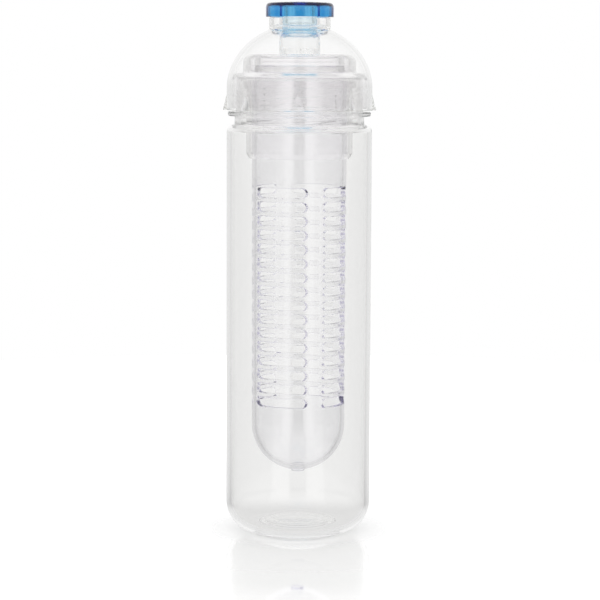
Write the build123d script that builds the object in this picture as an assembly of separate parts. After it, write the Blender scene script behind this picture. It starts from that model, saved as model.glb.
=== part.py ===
from build123d import *
from math import acos, cos, dist, pi, sin, sqrt
import os

# A fruit infuser water bottle. Lengths are in millimetres and angles in degrees.
# The origin is the centre of the foot, +Z runs up the bottle's axis, and -Y is the front.

# Bottle body
bottle_height = 206.6
body_diameter = 66.0
body_wall = 2.2
floor_thickness = 2.6
corner_width = 11.8
corner_height = 13.7
foot_width = 3.6
punt_slope_width = 2.1
punt_step = 1.6
punt_height = 5.0

# Shoulder and neck
neck_height = 20.1
shoulder_radius = 3.2
shoulder_inner_bevel = 0.8
shoulder_width = 3.55
neck_wall = 2.55
neck_bevel = 0.4
thread_root_inset = 0.75
thread_depth = 0.95
thread_gap = 0.25
support_ring_width = 3.05
support_ring_thickness = 2.0
support_ring_below_rim = 14.2
support_ring_bevel = 0.5

# Lid dome
dome_wall = 1.8
dome_rise = 29.2
waist_below_rim = 3.6
lid_edge_below_rim = 13.5
lid_edge_flare = 0.2
collar_diameter = 27.8
collar_wall = 1.9
collar_above_crown = 2.4

# Wedge grips round the edge of the lid
grip_count = 8
grip_turn = -1.5
grip_height = 7.1
grip_width = 6.4
grip_reach = 1.6
grip_root_depth = 0.5

# Drinking tube that hangs inside the dome
tube_bore_diameter = 16.5
tube_wall = 1.0
tube_below_collar = 0.2
lip_depth = 0.3
lip_thickness = 0.7

# Liner: the threaded inner lid with its well and its plate
skirt_wall = 1.0
skirt_shortfall = 0.9
liner_gap = 0.3
liner_wall = 1.35
flange_thickness = 1.8
flange_corner_radius = 3.7
flange_inner_bevel = 0.9
well_depth = 5.0
well_height = 8.1
well_corner_radius = 3.2
plate_thickness = 1.6
plate_hole_inset = 0.85
stop_depth = 3.3
seat_length = 3.7

# Sleeve that holds the infuser
sleeve_gap = 2.7
holder_wall = 1.9
holder_length = 41.7
holder_chamfer_width = 1.3
holder_chamfer_height = 2.3

# Infuser basket
infuser_gap = 0.7
infuser_wall = 1.9
infuser_length = 181.2
infuser_draft = 0.3
gate_pad_diameter = 6.0
gate_pad_height = 0.7

# Slots in the basket
slot_rows = 16
slot_columns = 4
slot_pitch = 6.33
slot_height = 4.0
slot_width_share = 0.537  # of the infuser's diameter
slot_turn = -25.0
slots_above_round_end = 10.1

# Seals
gasket_thickness = 1.4
gasket_width = 2.4
gasket_inset = 0.1
seal_thickness = 3.4
seal_width = 2.5
seal_bearing = 0.7
seal_bevel = 0.8
stem_seal_section = 1.3

# Pull-up mouthpiece
cap_diameter = 30.7
cap_height = 7.0
cap_crown = 0.7
cap_edge_radius = 1.8
cap_wall = 1.55
cap_plate = 2.2
cap_gap = 0.4
cap_travel = 3.5
drink_hole_diameter = 6.0
stem_wall = 2.25
stem_foot_height = 0.8
bead_height = 0.5
groove_play = 0.1

# Valve pin on its spider
pin_diameter = 3.6
pin_head_height = 2.4
pin_head_inset = 0.2
spider_height = 3.0
spider_ring_wall = 1.6
spider_rib_width = 1.6
spider_rib_count = 3
spider_turn = 60.0

# Fits, soft edges and the length by which a cutter passes through a wall
running_gap = 0.08
seated_gap = 0.05
edge_bevel = 0.3
overrun = 2.0

# Radii that follow, from the bottle inwards
body_radius = body_diameter / 2
foot_radius = body_radius - corner_width
foot_inner_radius = foot_radius - foot_width
punt_radius = foot_inner_radius - punt_slope_width
neck_radius = body_radius - shoulder_width
neck_bore_radius = neck_radius - neck_wall
root_radius = neck_radius - thread_root_inset
support_ring_radius = neck_radius + support_ring_width
skirt_inner_radius = root_radius + thread_depth + thread_gap
skirt_outer_radius = skirt_inner_radius + skirt_wall
dome_inner_radius = skirt_outer_radius + liner_gap
dome_radius = dome_inner_radius + dome_wall
holder_radius = neck_bore_radius - sleeve_gap
holder_bore_radius = holder_radius - holder_wall
well_bore_radius = holder_radius + seated_gap
well_radius = well_bore_radius + liner_wall
infuser_radius = holder_bore_radius - infuser_gap
infuser_bore_radius = infuser_radius - infuser_wall
slot_width = slot_width_share * 2 * infuser_radius
round_end_radius = infuser_radius - infuser_draft
seal_radius = infuser_bore_radius + seal_bearing
seal_bore_radius = seal_radius - seal_width
tube_bore_radius = tube_bore_diameter / 2
tube_radius = tube_bore_radius + tube_wall
lip_radius = tube_bore_radius - lip_depth
collar_radius = collar_diameter / 2
cap_radius = cap_diameter / 2
stem_radius = lip_radius - running_gap
stem_bore_radius = stem_radius - stem_wall
drink_hole_radius = drink_hole_diameter / 2

# Heights that follow, from the bottle's rim upwards and then down inside
rim_z = bottle_height
shoulder_z = rim_z - neck_height
support_ring_top_z = rim_z - support_ring_below_rim
support_ring_bottom_z = support_ring_top_z - support_ring_thickness
waist_z = rim_z - waist_below_rim
lid_edge_z = rim_z - lid_edge_below_rim
flange_bottom_z = rim_z + gasket_thickness
flange_top_z = flange_bottom_z + flange_thickness
plate_top_z = flange_top_z + well_height
plate_bottom_z = plate_top_z - plate_thickness
stop_z = plate_bottom_z - stop_depth
seat_z = plate_bottom_z - seat_length
infuser_top_z = seat_z - seal_thickness
infuser_tip_z = infuser_top_z - infuser_length
round_end_z = infuser_tip_z + round_end_radius
collar_top_z = waist_z + dome_rise + collar_above_crown
tube_top_z = collar_top_z - tube_below_collar
lip_bottom_z = tube_top_z - lip_thickness
cap_bottom_z = collar_top_z + cap_gap
cap_top_z = cap_bottom_z + cap_height
cap_underside_z = cap_top_z - cap_plate
bead_top_z = lip_bottom_z - cap_travel
bead_bottom_z = bead_top_z - bead_height
groove_bottom_z = bead_bottom_z - stem_seal_section - groove_play
stem_bottom_z = groove_bottom_z - stem_foot_height


def turned(*edges):
    """Turn a closed outline, drawn as radius and height, about the bottle's axis."""
    return revolve(Plane.XZ * make_face(edges), Axis.Z)


def towards(start, finish, length):
    """The point that lies a length from start on the straight line to finish."""
    share = length / dist(start, finish)
    return tuple(a + share * (b - a) for a, b in zip(start, finish))


def outline(corners, closed=True):
    """Straight outline from corners: radius, height, how the corner is softened and by how much.

    A "round" has its radius, a "bevel" is a flat cut of that length along both sides, and a
    corner that names neither stays sharp.
    """
    places = [corner[:2] for corner in corners]
    after = places[1:] + places[:1]
    before = places[-1:] + places[:-1]
    points, rounds = [], []
    for corner, last, following in zip(corners, before, after):
        place = corner[:2]
        kind, amount = corner[2:] or ("sharp", 0)
        if kind == "bevel":
            points += [towards(place, last, amount), towards(place, following, amount)]
            rounds += [0, 0]
        else:
            points.append(place)
            rounds.append(amount)
    if closed:
        return FilletPolyline(*points, radius=rounds, close=True)
    return FilletPolyline(*points, radius=rounds[1:-1])


def turned_corners(corners):
    """Turn a closed outline given by its corners."""
    return turned(outline(corners))


def turned_ring(bore, radius, bottom, top, bevel=0.0):
    """A plain ring, with the same bevel on its four corners or with sharp ones."""
    corners = [(bore, bottom), (radius, bottom), (radius, top), (bore, top)]
    return turned_corners([corner + (("bevel", bevel) if bevel else ()) for corner in corners])


def post(radius, bottom, top):
    """A round post on the bottle's axis between two heights."""
    lower_middle = (Align.CENTER, Align.CENTER, Align.MIN)
    return Pos(0, 0, bottom) * Cylinder(radius, top - bottom, align=lower_middle)


def dome_height(radius, waist_radius, rise):
    """Height of an elliptical dome over its waist, at a radius."""
    return waist_z + rise * sqrt(1 - (radius / waist_radius) ** 2)


def elliptic_arc(centre, across, up, start, finish):
    """Stretch of an ellipse with half-axes across and up, between two angles in radians.

    It is drawn as a weighted curve on three points: the two ends, and the place where the
    tangents at the ends meet, whose weight is the cosine of half the stretch.
    """
    weight = cos((finish - start) / 2)
    spots = [(start, 1), ((start + finish) / 2, weight), (finish, 1)]
    points = [(centre[0] + across * cos(a) / w, centre[1] + up * sin(a) / w) for a, w in spots]
    return Bezier(*points, weights=[w for _, w in spots])


def dome_arc(outer_end, inner_end, waist_radius, rise):
    """The stretch of a dome's elliptical outline between two radii, the outer one first."""
    start, finish = acos(outer_end / waist_radius), acos(inner_end / waist_radius)
    return elliptic_arc((0, waist_z), waist_radius, rise, start, finish)


def make_bottle_body():
    """Clear bottle: pushed-up base, rounded corner, straight wall, shoulder and neck."""
    inner_radius = body_radius - body_wall
    inner_shoulder_z = shoulder_z - body_wall
    wall = outline([
        (body_radius, corner_height),
        (body_radius, shoulder_z, "round", shoulder_radius),
        (neck_radius, shoulder_z),
        (neck_radius, support_ring_bottom_z),
        (support_ring_radius, support_ring_bottom_z, "bevel", support_ring_bevel),
        (support_ring_radius, support_ring_top_z, "bevel", support_ring_bevel),
        (root_radius, support_ring_top_z, "bevel", neck_bevel),
        (root_radius, rim_z, "bevel", neck_bevel),
        (neck_bore_radius, rim_z, "bevel", neck_bevel),
        (neck_bore_radius, inner_shoulder_z, "bevel", neck_bevel),
        (inner_radius, inner_shoulder_z, "bevel", shoulder_inner_bevel),
        (inner_radius, corner_height),
    ], closed=False)
    corner_centre = (foot_radius, corner_height)
    corner_depth = corner_height - floor_thickness
    floor_z, punt_floor_z = floor_thickness, punt_step + floor_thickness
    centre_z = punt_height + floor_thickness
    return turned(
        TangentArc((0, punt_height), (punt_radius, punt_step), tangent=(1, 0)),
        Line((punt_radius, punt_step), (foot_inner_radius, 0)),
        Line((foot_inner_radius, 0), (foot_radius, 0)),
        elliptic_arc(corner_centre, corner_width, corner_height, -pi / 2, 0),
        wall,
        elliptic_arc(corner_centre, corner_width - body_wall, corner_depth, -pi / 2, 0),
        Line((foot_radius, floor_z), (foot_inner_radius, floor_z)),
        Line((foot_inner_radius, floor_z), (punt_radius, punt_floor_z)),
        TangentArc((0, centre_z), (punt_radius, punt_floor_z), tangent=(1, 0)),
        Line((0, centre_z), (0, punt_height)),
    )


def make_grip():
    """One wedge grip on the +X side: two facets that meet on a ridge and run out upwards."""
    wall_radius = dome_radius + lid_edge_flare
    root_radius_here = wall_radius - grip_root_depth
    spread_share = (grip_reach + grip_root_depth) / grip_reach
    half_width = grip_width / 2 * spread_share
    left = (root_radius_here, half_width, lid_edge_z)
    right = (root_radius_here, -half_width, lid_edge_z)
    ridge = (wall_radius + grip_reach, 0, lid_edge_z)
    tip = (root_radius_here, 0, lid_edge_z + grip_height * spread_share)
    facets = [(left, right, ridge), (left, ridge, tip), (ridge, right, tip), (right, left, tip)]
    return Solid(Shell([Face(Wire.make_polygon(facet, close=True)) for facet in facets]))


def make_lid_dome():
    """Clear dome with the spout's collar, the drinking tube and the wedge grips, as one moulding."""
    inner_rise = dome_rise - dome_wall
    collar_bore_radius = collar_radius - collar_wall
    edge_radius_low = dome_radius + lid_edge_flare
    collar_foot_z = dome_height(collar_radius, dome_radius, dome_rise)
    trough_z = dome_height(collar_bore_radius, dome_radius, dome_rise)
    tube_foot_z = dome_height(tube_radius, dome_radius, dome_rise)
    ceiling_z = dome_height(tube_radius, dome_inner_radius, inner_rise)
    shell = turned(
        Line((edge_radius_low, lid_edge_z), (dome_radius, waist_z)),
        dome_arc(dome_radius, collar_radius, dome_radius, dome_rise),
        Polyline(
            (collar_radius, collar_foot_z),
            (collar_radius, collar_top_z),
            (collar_bore_radius, collar_top_z),
            (collar_bore_radius, trough_z),
        ),
        dome_arc(collar_bore_radius, tube_radius, dome_radius, dome_rise),
        Polyline(
            (tube_radius, tube_foot_z),
            (tube_radius, tube_top_z),
            (lip_radius, tube_top_z),
            (lip_radius, lip_bottom_z),
            (tube_bore_radius, lip_bottom_z),
            (tube_bore_radius, plate_top_z),
            (tube_radius, plate_top_z),
            (tube_radius, ceiling_z),
        ),
        dome_arc(dome_inner_radius, tube_radius, dome_inner_radius, inner_rise),
        Line((dome_inner_radius, waist_z), (dome_inner_radius, lid_edge_z)),
        Line((dome_inner_radius, lid_edge_z), (edge_radius_low, lid_edge_z)),
    )
    grip = make_grip()
    front = -90 + grip_turn
    step = 360 / grip_count
    return shell + [Rot(0, 0, front + step * i) * grip for i in range(grip_count)]


def make_lid_liner():
    """Threaded inner lid: the skirt round the neck, the flange, the well and its top plate."""
    return turned_corners([
        (tube_bore_radius - plate_hole_inset, plate_top_z),
        (well_radius, plate_top_z, "round", well_corner_radius),
        (well_radius, flange_top_z),
        (skirt_outer_radius, flange_top_z, "round", flange_corner_radius),
        (skirt_outer_radius, lid_edge_z + skirt_shortfall, "bevel", edge_bevel),
        (skirt_inner_radius, lid_edge_z + skirt_shortfall, "bevel", edge_bevel),
        (skirt_inner_radius, flange_bottom_z, "bevel", flange_inner_bevel),
        (well_radius, flange_bottom_z),
        (well_radius, flange_bottom_z - well_depth, "bevel", edge_bevel),
        (well_bore_radius, flange_bottom_z - well_depth, "bevel", edge_bevel),
        (well_bore_radius, stop_z),
        (holder_bore_radius, stop_z),
        (holder_bore_radius, plate_bottom_z),
        (seal_radius, plate_bottom_z),
        (seal_radius, seat_z, "bevel", edge_bevel),
        (seal_bore_radius, seat_z, "bevel", edge_bevel),
        (seal_bore_radius, plate_bottom_z),
        (tube_bore_radius - plate_hole_inset, plate_bottom_z),
    ])


def make_infuser_holder():
    """Threaded sleeve that hangs from the liner's well and takes the infuser."""
    bottom_z = stop_z - holder_length
    return turned_corners([
        (holder_bore_radius, stop_z),
        (holder_radius, stop_z),
        (holder_radius, bottom_z + holder_chamfer_height),
        (holder_radius - holder_chamfer_width, bottom_z),
        (holder_bore_radius, bottom_z),
    ])


def make_slot_cutter():
    """A column of round-ended slots along +X, one cutter over another."""
    reach = infuser_radius + overrun
    lowest_z = round_end_z + slots_above_round_end + slot_height / 2
    slot = extrude(Plane.YZ * SlotOverall(slot_width, slot_height), reach)
    return [Pos(0, 0, lowest_z + slot_pitch * row) * slot for row in range(slot_rows)]


def make_infuser_basket():
    """Slotted tube with a round end and a gate pad on its tip."""
    centre = (0, round_end_z)
    round_end_bore = infuser_bore_radius - infuser_draft
    pad_radius = gate_pad_diameter / 2
    wall = turned(
        Line((infuser_bore_radius, infuser_top_z), (infuser_radius, infuser_top_z)),
        Line((infuser_radius, infuser_top_z), (round_end_radius, round_end_z)),
        CenterArc(centre, round_end_radius, 0, -90),
        Line((0, infuser_tip_z), (0, round_end_z - round_end_bore)),
        CenterArc(centre, round_end_bore, 0, -90),
        Line((round_end_bore, round_end_z), (infuser_bore_radius, infuser_top_z)),
    )
    pad = post(pad_radius, infuser_tip_z - gate_pad_height, infuser_tip_z + infuser_wall / 2)
    column = make_slot_cutter()
    step = 360 / slot_columns
    cutters = []
    for number in range(slot_columns):
        turn = Rot(0, 0, -90 + slot_turn + step * number)
        cutters += [turn * cutter for cutter in column]
    return wall + pad - cutters


def make_rim_gasket():
    """Flat silicone ring between the neck's rim and the liner's flange."""
    outer = root_radius - gasket_inset
    return turned_ring(outer - gasket_width, outer, rim_z, flange_bottom_z)


def make_infuser_seal():
    """Soft-edged silicone ring between the infuser's mouth and the liner's seat."""
    return turned_ring(seal_bore_radius, seal_radius, infuser_top_z, seat_z, seal_bevel)


def make_pull_cap():
    """Blue mouthpiece: a crowned plate with the drinking hole, and its skirt."""
    return turned_corners([
        (drink_hole_radius, cap_top_z, "bevel", edge_bevel),
        (cap_radius, cap_top_z - cap_crown, "round", cap_edge_radius),
        (cap_radius, cap_bottom_z, "bevel", edge_bevel),
        (cap_radius - cap_wall, cap_bottom_z, "bevel", edge_bevel),
        (cap_radius - cap_wall, cap_underside_z),
        (drink_hole_radius, cap_underside_z),
    ])


def make_cap_stem():
    """Clear hollow stem welded under the mouthpiece, with its stop bead and its seal's groove."""
    bead_radius = tube_bore_radius - running_gap
    groove_radius = tube_bore_radius - seated_gap - stem_seal_section - seated_gap
    return turned_corners([
        (stem_radius, cap_underside_z),
        (stem_radius, bead_top_z),
        (bead_radius, bead_top_z),
        (bead_radius, bead_bottom_z),
        (groove_radius, bead_bottom_z),
        (groove_radius, groove_bottom_z),
        (stem_radius, groove_bottom_z),
        (stem_radius, stem_bottom_z, "bevel", edge_bevel),
        (stem_bore_radius, stem_bottom_z),
        (stem_bore_radius, cap_underside_z),
    ])


def make_stem_seal():
    """Small square-section ring in the stem's groove."""
    outer = tube_bore_radius - seated_gap
    bottom = (bead_bottom_z + groove_bottom_z - stem_seal_section) / 2
    return turned_ring(outer - stem_seal_section, outer, bottom, bottom + stem_seal_section)


def make_valve_pin():
    """Clear pin that plugs the drinking hole, on a ribbed spider at the foot of the tube."""
    ring_radius = tube_bore_radius - seated_gap
    ring_bore = ring_radius - spider_ring_wall
    spider_top_z = plate_top_z + spider_height
    head_radius = drink_hole_radius - running_gap
    head_top_z = cap_top_z - pin_head_inset
    ring = post(ring_radius, plate_top_z, spider_top_z) - post(ring_bore, plate_top_z, spider_top_z)
    pin = post(pin_diameter / 2, plate_top_z, head_top_z)
    head = turned_corners([
        (0, head_top_z),
        (head_radius, head_top_z, "bevel", edge_bevel),
        (head_radius, head_top_z - pin_head_height, "bevel", edge_bevel),
        (0, head_top_z - pin_head_height),
    ])
    rib_length = ring_bore + spider_ring_wall / 2
    lower_end = (Align.MIN, Align.CENTER, Align.MIN)
    rib = Pos(0, 0, plate_top_z) * Box(rib_length, spider_rib_width, spider_height, align=lower_end)
    step = 360 / spider_rib_count
    ribs = [Rot(0, 0, spider_turn + step * i) * rib for i in range(spider_rib_count)]
    return ring + pin + head + ribs


pieces = {
    "bottle_body": make_bottle_body(),
    "rim_gasket": make_rim_gasket(),
    "lid_dome": make_lid_dome(),
    "lid_liner": make_lid_liner(),
    "infuser_holder": make_infuser_holder(),
    "infuser_seal": make_infuser_seal(),
    "infuser_basket": make_infuser_basket(),
    "valve_pin": make_valve_pin(),
    "pull_cap": make_pull_cap(),
    "cap_stem": make_cap_stem(),
    "stem_seal": make_stem_seal(),
}

os.makedirs("parts", exist_ok=True)
for name, piece in pieces.items():
    piece.label = name
    export_step(piece, f"parts/{name}.step")
    box = piece.bounding_box()
    print(f"{name:16s} {piece.volume:10.1f} mm3, z {box.min.Z:7.2f} to {box.max.Z:7.2f}, width {box.size.X:6.2f}")
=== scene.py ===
# %% [markdown]
# # A clear fruit infuser bottle
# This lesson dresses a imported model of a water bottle: a clear bottle, a domed screw lid with a blue
# pull-up mouthpiece, and a slotted basket for fruit that hangs from the lid. Everything but the
# mouthpiece is clear, so the shapes of the walls are the picture: a clear wall shows only where it
# bends or mirrors light. Each wall is therefore a surface worked out from a formula, closed on all
# sides, with the thickness of the real moulding.

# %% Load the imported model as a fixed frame
import bmesh
import bpy
import numpy as np
from mathutils import Matrix, Vector


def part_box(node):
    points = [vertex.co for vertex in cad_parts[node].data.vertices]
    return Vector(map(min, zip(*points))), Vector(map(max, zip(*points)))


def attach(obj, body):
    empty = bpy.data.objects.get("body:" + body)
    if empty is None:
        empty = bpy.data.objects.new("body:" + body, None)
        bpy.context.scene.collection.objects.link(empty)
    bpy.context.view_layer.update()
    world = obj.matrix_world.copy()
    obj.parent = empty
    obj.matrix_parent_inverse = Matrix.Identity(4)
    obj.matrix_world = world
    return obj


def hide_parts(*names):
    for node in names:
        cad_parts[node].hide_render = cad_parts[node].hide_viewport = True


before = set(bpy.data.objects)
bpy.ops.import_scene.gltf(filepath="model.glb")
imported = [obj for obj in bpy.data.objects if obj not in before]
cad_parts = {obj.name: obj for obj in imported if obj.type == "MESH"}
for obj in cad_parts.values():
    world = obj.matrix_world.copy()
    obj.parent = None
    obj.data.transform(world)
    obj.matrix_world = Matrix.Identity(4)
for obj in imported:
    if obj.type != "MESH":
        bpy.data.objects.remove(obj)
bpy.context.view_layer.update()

# %% [markdown]
# ## Sizes
# The frame tells where each solid begins and ends, so those sizes are read from it. A wall's
# thickness can't be read from a box, so it is a value with a name. Lengths are in metres, and `mm`
# lets them be written the way a moulder would say them.

# %% Sizes read from the frame
mm = 0.001


def reach(node):
    """Outer radius of a round solid, and the heights of its lowest and its highest point."""
    low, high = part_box(node)
    return high[1], low[2], high[2]


body_radius, _, rim_z = reach("bottle_body")
gasket_radius, gasket_z, flange_z = reach("rim_gasket")
skirt_radius, skirt_z, plate_z = reach("lid_liner")
_, lid_edge_z, collar_z = reach("lid_dome")
sleeve_radius, sleeve_z, sleeve_top_z = reach("infuser_holder")
seal_radius, seal_z, seat_z = reach("infuser_seal")
basket_radius, tip_z, basket_top_z = reach("infuser_basket")
cap_radius, cap_bottom_z, cap_top_z = reach("pull_cap")
bead_radius, stem_z, stem_top_z = reach("cap_stem")
ring_radius, ring_z, ring_top_z = reach("stem_seal")
print(f"bottle {2 * body_radius / mm:.1f} mm wide, rim at {rim_z / mm:.1f} mm, "
      f"mouthpiece up to {cap_top_z / mm:.1f} mm")

# %% [markdown]
# ## Outlines
# Almost every piece of a bottle is turned: one outline, drawn as radius and height, goes round the
# axis. An outline could be a long list of points. Here it is a short list of corners, each with the
# radius of its round, and the rounds are worked out from the angle between the two sides. That is
# how a drawing of such a part is dimensioned, and it keeps the numbers few.

# %% Outlines from corners and arcs


def arc(centre, half_axes, start, finish, steps=24):
    """Points of an ellipse: centre plus (a cos t, b sin t) for t from start to finish, in degrees."""
    t = np.radians(np.linspace(start, finish, steps + 1))
    x = centre[0] + half_axes[0] * np.cos(t)
    y = centre[1] + half_axes[1] * np.sin(t)
    return np.column_stack([x, y])


def corner_round(before, corner, after, radius, steps=6):
    """The arc that is tangent to both sides of a corner.

    Its ends lie radius / tan(half the angle) from the corner, and its centre lies on the line that
    halves the angle, radius / sin(half the angle) away.
    """
    u = (before - corner) / np.linalg.norm(before - corner)
    v = (after - corner) / np.linalg.norm(after - corner)
    half = np.arccos(np.clip(u @ v, -1, 1)) / 2
    centre = corner + (u + v) / np.linalg.norm(u + v) * radius / np.sin(half)
    first = corner + u * radius / np.tan(half) - centre
    last = corner + v * radius / np.tan(half) - centre
    start = np.arctan2(first[1], first[0])
    sweep = np.arctan2(first[0] * last[1] - first[1] * last[0], first @ last)
    t = start + sweep * np.linspace(0, 1, steps + 1)
    return centre + radius * np.column_stack([np.cos(t), np.sin(t)])


def rounded(corners, closed=True):
    """Outline from corners (radius, height, round), with an arc in place of each rounded corner."""
    places = np.array([corner[:2] for corner in corners], float)
    before, after = np.roll(places, 1, axis=0), np.roll(places, -1, axis=0)
    parts = []
    for number, corner in enumerate(corners):
        inside = closed or 0 < number < len(corners) - 1
        if inside and corner[2]:
            parts.append(corner_round(before[number], places[number], after[number], corner[2]))
        else:
            parts.append(places[number:number + 1])
    return np.vstack(parts)


def finer(outline, low, high, step, closed=True):
    """The same outline with extra points, a step apart, on its upright stretches from low to high.

    A stretch is upright when it rises more than three times as far as it runs out.
    """
    following_points = np.roll(outline, -1, axis=0)
    if not closed:
        following_points[-1] = outline[-1]
    parts = []
    for here, following in zip(outline, following_points):
        upright = abs(following[1] - here[1]) > 3 * abs(following[0] - here[0])
        bottom, top = sorted((here[1], following[1]))
        wanted = upright and top > low and bottom < high
        count = max(1, int(np.ceil((top - bottom) / step))) if wanted else 1
        share = np.arange(count)[:, None] / count
        parts.append(here + share * (following - here))
    return np.vstack(parts)


square = [(1, 0, 0.5), (3, 0, 0.5), (3, 2, 0.5), (1, 2, 0.5)]
print("a square of 2 mm with rounds of 0.5 mm has", len(rounded(square)), "points")

# %% [markdown]
# ## Turned surfaces
# The Screw modifier or the Spin tool could turn an outline, but neither can press a screw thread or
# a grip into the wall. Here a whole grid of angles times outline points is worked out at once. A
# second function may swell the radius at each place, and that is all a thread needs. An outline
# that starts and ends on the axis gets one point there, so the pole is closed without slivers.

# %% Turn an outline into a closed surface
on_axis = 1e-9  # a radius under this is a pole


def turn(outline, angles, swell=None, closed=True):
    """Points (r cos t, r sin t, z) for every angle t and outline point (r, z).

    What swell(t, r, z) gives is added to r. Returns the points, the quads and the triangles at the
    poles. The order of each face's corners makes it look away from the material when the outline
    runs anticlockwise round it.
    """
    r, z = outline[:, 0][None, :], outline[:, 1][None, :]
    t = angles if angles.ndim == 2 else angles[:, None] + 0 * r
    columns, rows = t.shape
    radius = r + (swell(t, r, z) if swell else 0 * t)
    points = np.stack([radius * np.cos(t), radius * np.sin(t), z + 0 * t], axis=-1).reshape(-1, 3)
    poles = [row for row in (0, rows - 1) if abs(outline[row, 0]) < on_axis]
    row = np.arange(rows if closed and not poles else rows - 1)
    row = row[~np.isin(row, [p if p == 0 else p - 1 for p in poles])]
    column = np.arange(columns)[:, None]
    right, up = (column + 1) % columns, (row + 1) % rows
    quads = np.stack([column * rows + row, right * rows + row,
                      right * rows + up, column * rows + up], axis=-1)
    fans = []
    for pole in poles:
        near = 1 if pole == 0 else rows - 2
        a, b = column[:, 0] * rows + near, right[:, 0] * rows + near
        tip = np.full_like(a, pole)
        fans.append(np.column_stack([tip, b, a] if pole == 0 else [a, b, tip]))
    return points, quads.reshape(-1, 4), np.vstack(fans) if fans else np.zeros((0, 3), int)


def even_angles(count):
    """Angles of count columns, spread evenly round the axis."""
    return np.arange(count) * 2 * np.pi / count


turned_square = turn(rounded(square), even_angles(12))
print("turned in 12 columns, it has", len(turned_square[0]), "points")

# %% [markdown]
# ## From a surface to a piece
# The points and faces become a mesh object. Where two parts of a surface meet, as at the borders of
# the infuser's slots, they are welded, because clear plastic needs a skin without gaps: light is
# bent where it goes in and again where it comes out. Smooth shading hides the facets of a round, but
# a real fold has to stay crisp, so edges that fold by more than an angle are marked as sharp. The
# piece then rides on a body of the frame, so that it moves with it, and takes the place of the
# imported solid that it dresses.

# %% Make a piece of a surface
weld_distance = 0.002 * mm


def place_in_scene(name, data):
    """An object of a mesh or a camera, put into the scene."""
    thing = bpy.data.objects.new(name, data)
    bpy.context.scene.collection.objects.link(thing)
    return thing


def add_piece(name, surface, material, body, nodes, crease=35.0):
    """Make a mesh object of a surface, weld its seams, shade it smooth and let it ride on its body.

    Edges that fold by more than the crease, in degrees, stay sharp.
    """
    points, quads, triangles = surface
    mesh = bpy.data.meshes.new(name)
    mesh.from_pydata(points, [], quads.tolist() + triangles.tolist())
    work = bmesh.new()
    work.from_mesh(mesh)
    bmesh.ops.remove_doubles(work, verts=work.verts, dist=weld_distance)
    loose = [v for v in work.verts if not v.link_faces]
    bmesh.ops.delete(work, geom=loose, context="VERTS")
    open_edges = sum(1 for e in work.edges if len(e.link_faces) != 2)
    work.to_mesh(mesh)
    work.free()
    mesh.shade_smooth()
    mesh.set_sharp_from_angle(angle=np.radians(crease))
    mesh.materials.append(material)
    piece = place_in_scene(name, mesh)
    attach(piece, body)
    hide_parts(*nodes)
    sides = sum(len(p.vertices) - 2 for p in mesh.polygons)
    print(f"{name}: {sides} triangles, {open_edges} open edges")


print("points that are less than", weld_distance / mm, "mm apart become one")

# %% [markdown]
# ## Screw threads
# The neck, the lid and the infuser have two-start threads: two ridges that climb side by side. A
# ridge could be a profile swept along a helix and fused to the wall, but on clear plastic the hidden
# overlap of the two would show. A ridge that is part of the wall itself leaves one clean skin.

# %% The height of a thread over its wall


def smooth(share):
    """Eases a share from 0 to 1 with no kink at either end: s squared times (3 - 2 s)."""
    s = np.clip(share, 0, 1)
    return s * s * (3 - 2 * s)


def thread(t, z, first_z, lead, sweep, width, depth, starts=2, fade=0.45, flank=0.9):
    """Ridge height at angle t and height z.

    A ridge's middle climbs by lead in each turn, from first_z on. Across it, the height falls from
    depth to 0 over the flank, a share of its half width. At both ends it fades over an angle.
    """
    height = np.zeros(np.broadcast(t, z).shape)
    for start in range(starts):
        along = np.mod(t - 2 * np.pi * start / starts, 2 * np.pi)
        for lap in range(int(np.ceil(sweep / (2 * np.pi)))):
            run = along + 2 * np.pi * lap
            off = np.abs(z - first_z - lead * run / (2 * np.pi)) / (width / 2)
            ends = smooth(np.minimum(run, sweep - run) / fade)
            height = np.maximum(height, depth * smooth((1 - off) / flank) * ends)
    return height


def on_wall(r, wall_radius, ridge, tolerance=0.05 * mm):
    """The ridge where the outline runs along the wall of that radius, and 0 elsewhere."""
    return np.where(np.abs(r - wall_radius) < tolerance, ridge, 0)


lid_lead, lid_ridge_width = 8.8 * mm, 2.6 * mm
infuser_lead, infuser_ridge_width = 9.0 * mm, 2.3 * mm
print("ridges of the neck are", round(lid_lead / 2 / mm, 2), "mm apart")

# %% [markdown]
# ## Writing a material
# A material is a tree of nodes. It could be wired in the editor by hand, but a few short helpers make
# it readable in a script: one gives a socket a link or a value, one makes a node with the values of
# its sockets, and one makes a material with the values of its main shader.

# %% Short ways to write a material


def feed(tree, socket, value):
    """Links a value that is a socket, or writes a value that is a number or a colour."""
    if hasattr(value, "links"):
        tree.links.new(value, socket)
    else:
        socket.default_value = value


def new_node(tree, kind, values):
    """A node of a kind, with a value for each socket that is named."""
    node = tree.nodes.new("ShaderNode" + kind)
    for name, value in values.items():
        feed(tree, node.inputs[name], value)
    return node


def new_material(name, values):
    """A node material, with a value for each socket of its main shader that is named."""
    material = bpy.data.materials.new(name)
    material.use_nodes = True
    shader = material.node_tree.nodes["Principled BSDF"]
    for socket, value in values.items():
        feed(material.node_tree, shader.inputs[socket], value)
    return material, material.node_tree, shader


print("helpers:", [helper.__name__ for helper in (feed, new_node, new_material)])

# %% [markdown]
# ## Clear plastic
# Clear moulded plastic isn't perfect glass. Its skin has a faint waviness where the melt flowed, and
# a slightly uneven gloss. Both are noise on Object coordinates, far too small to see by themselves,
# but they break up the mirror-sharp lines that give a computer's glass away. The tint, the
# refractive index and the transmission are plain numbers on the shader, so they survive an export.
# A tint on the skin counts once for each skin that the light crosses. Absorption inside the plastic
# counts by length instead, so it shades the edges, where light runs along a wall, and leaves the
# face of a wall clear. Silicone is made the same way with a rougher skin, which blurs what lies
# behind it.

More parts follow.
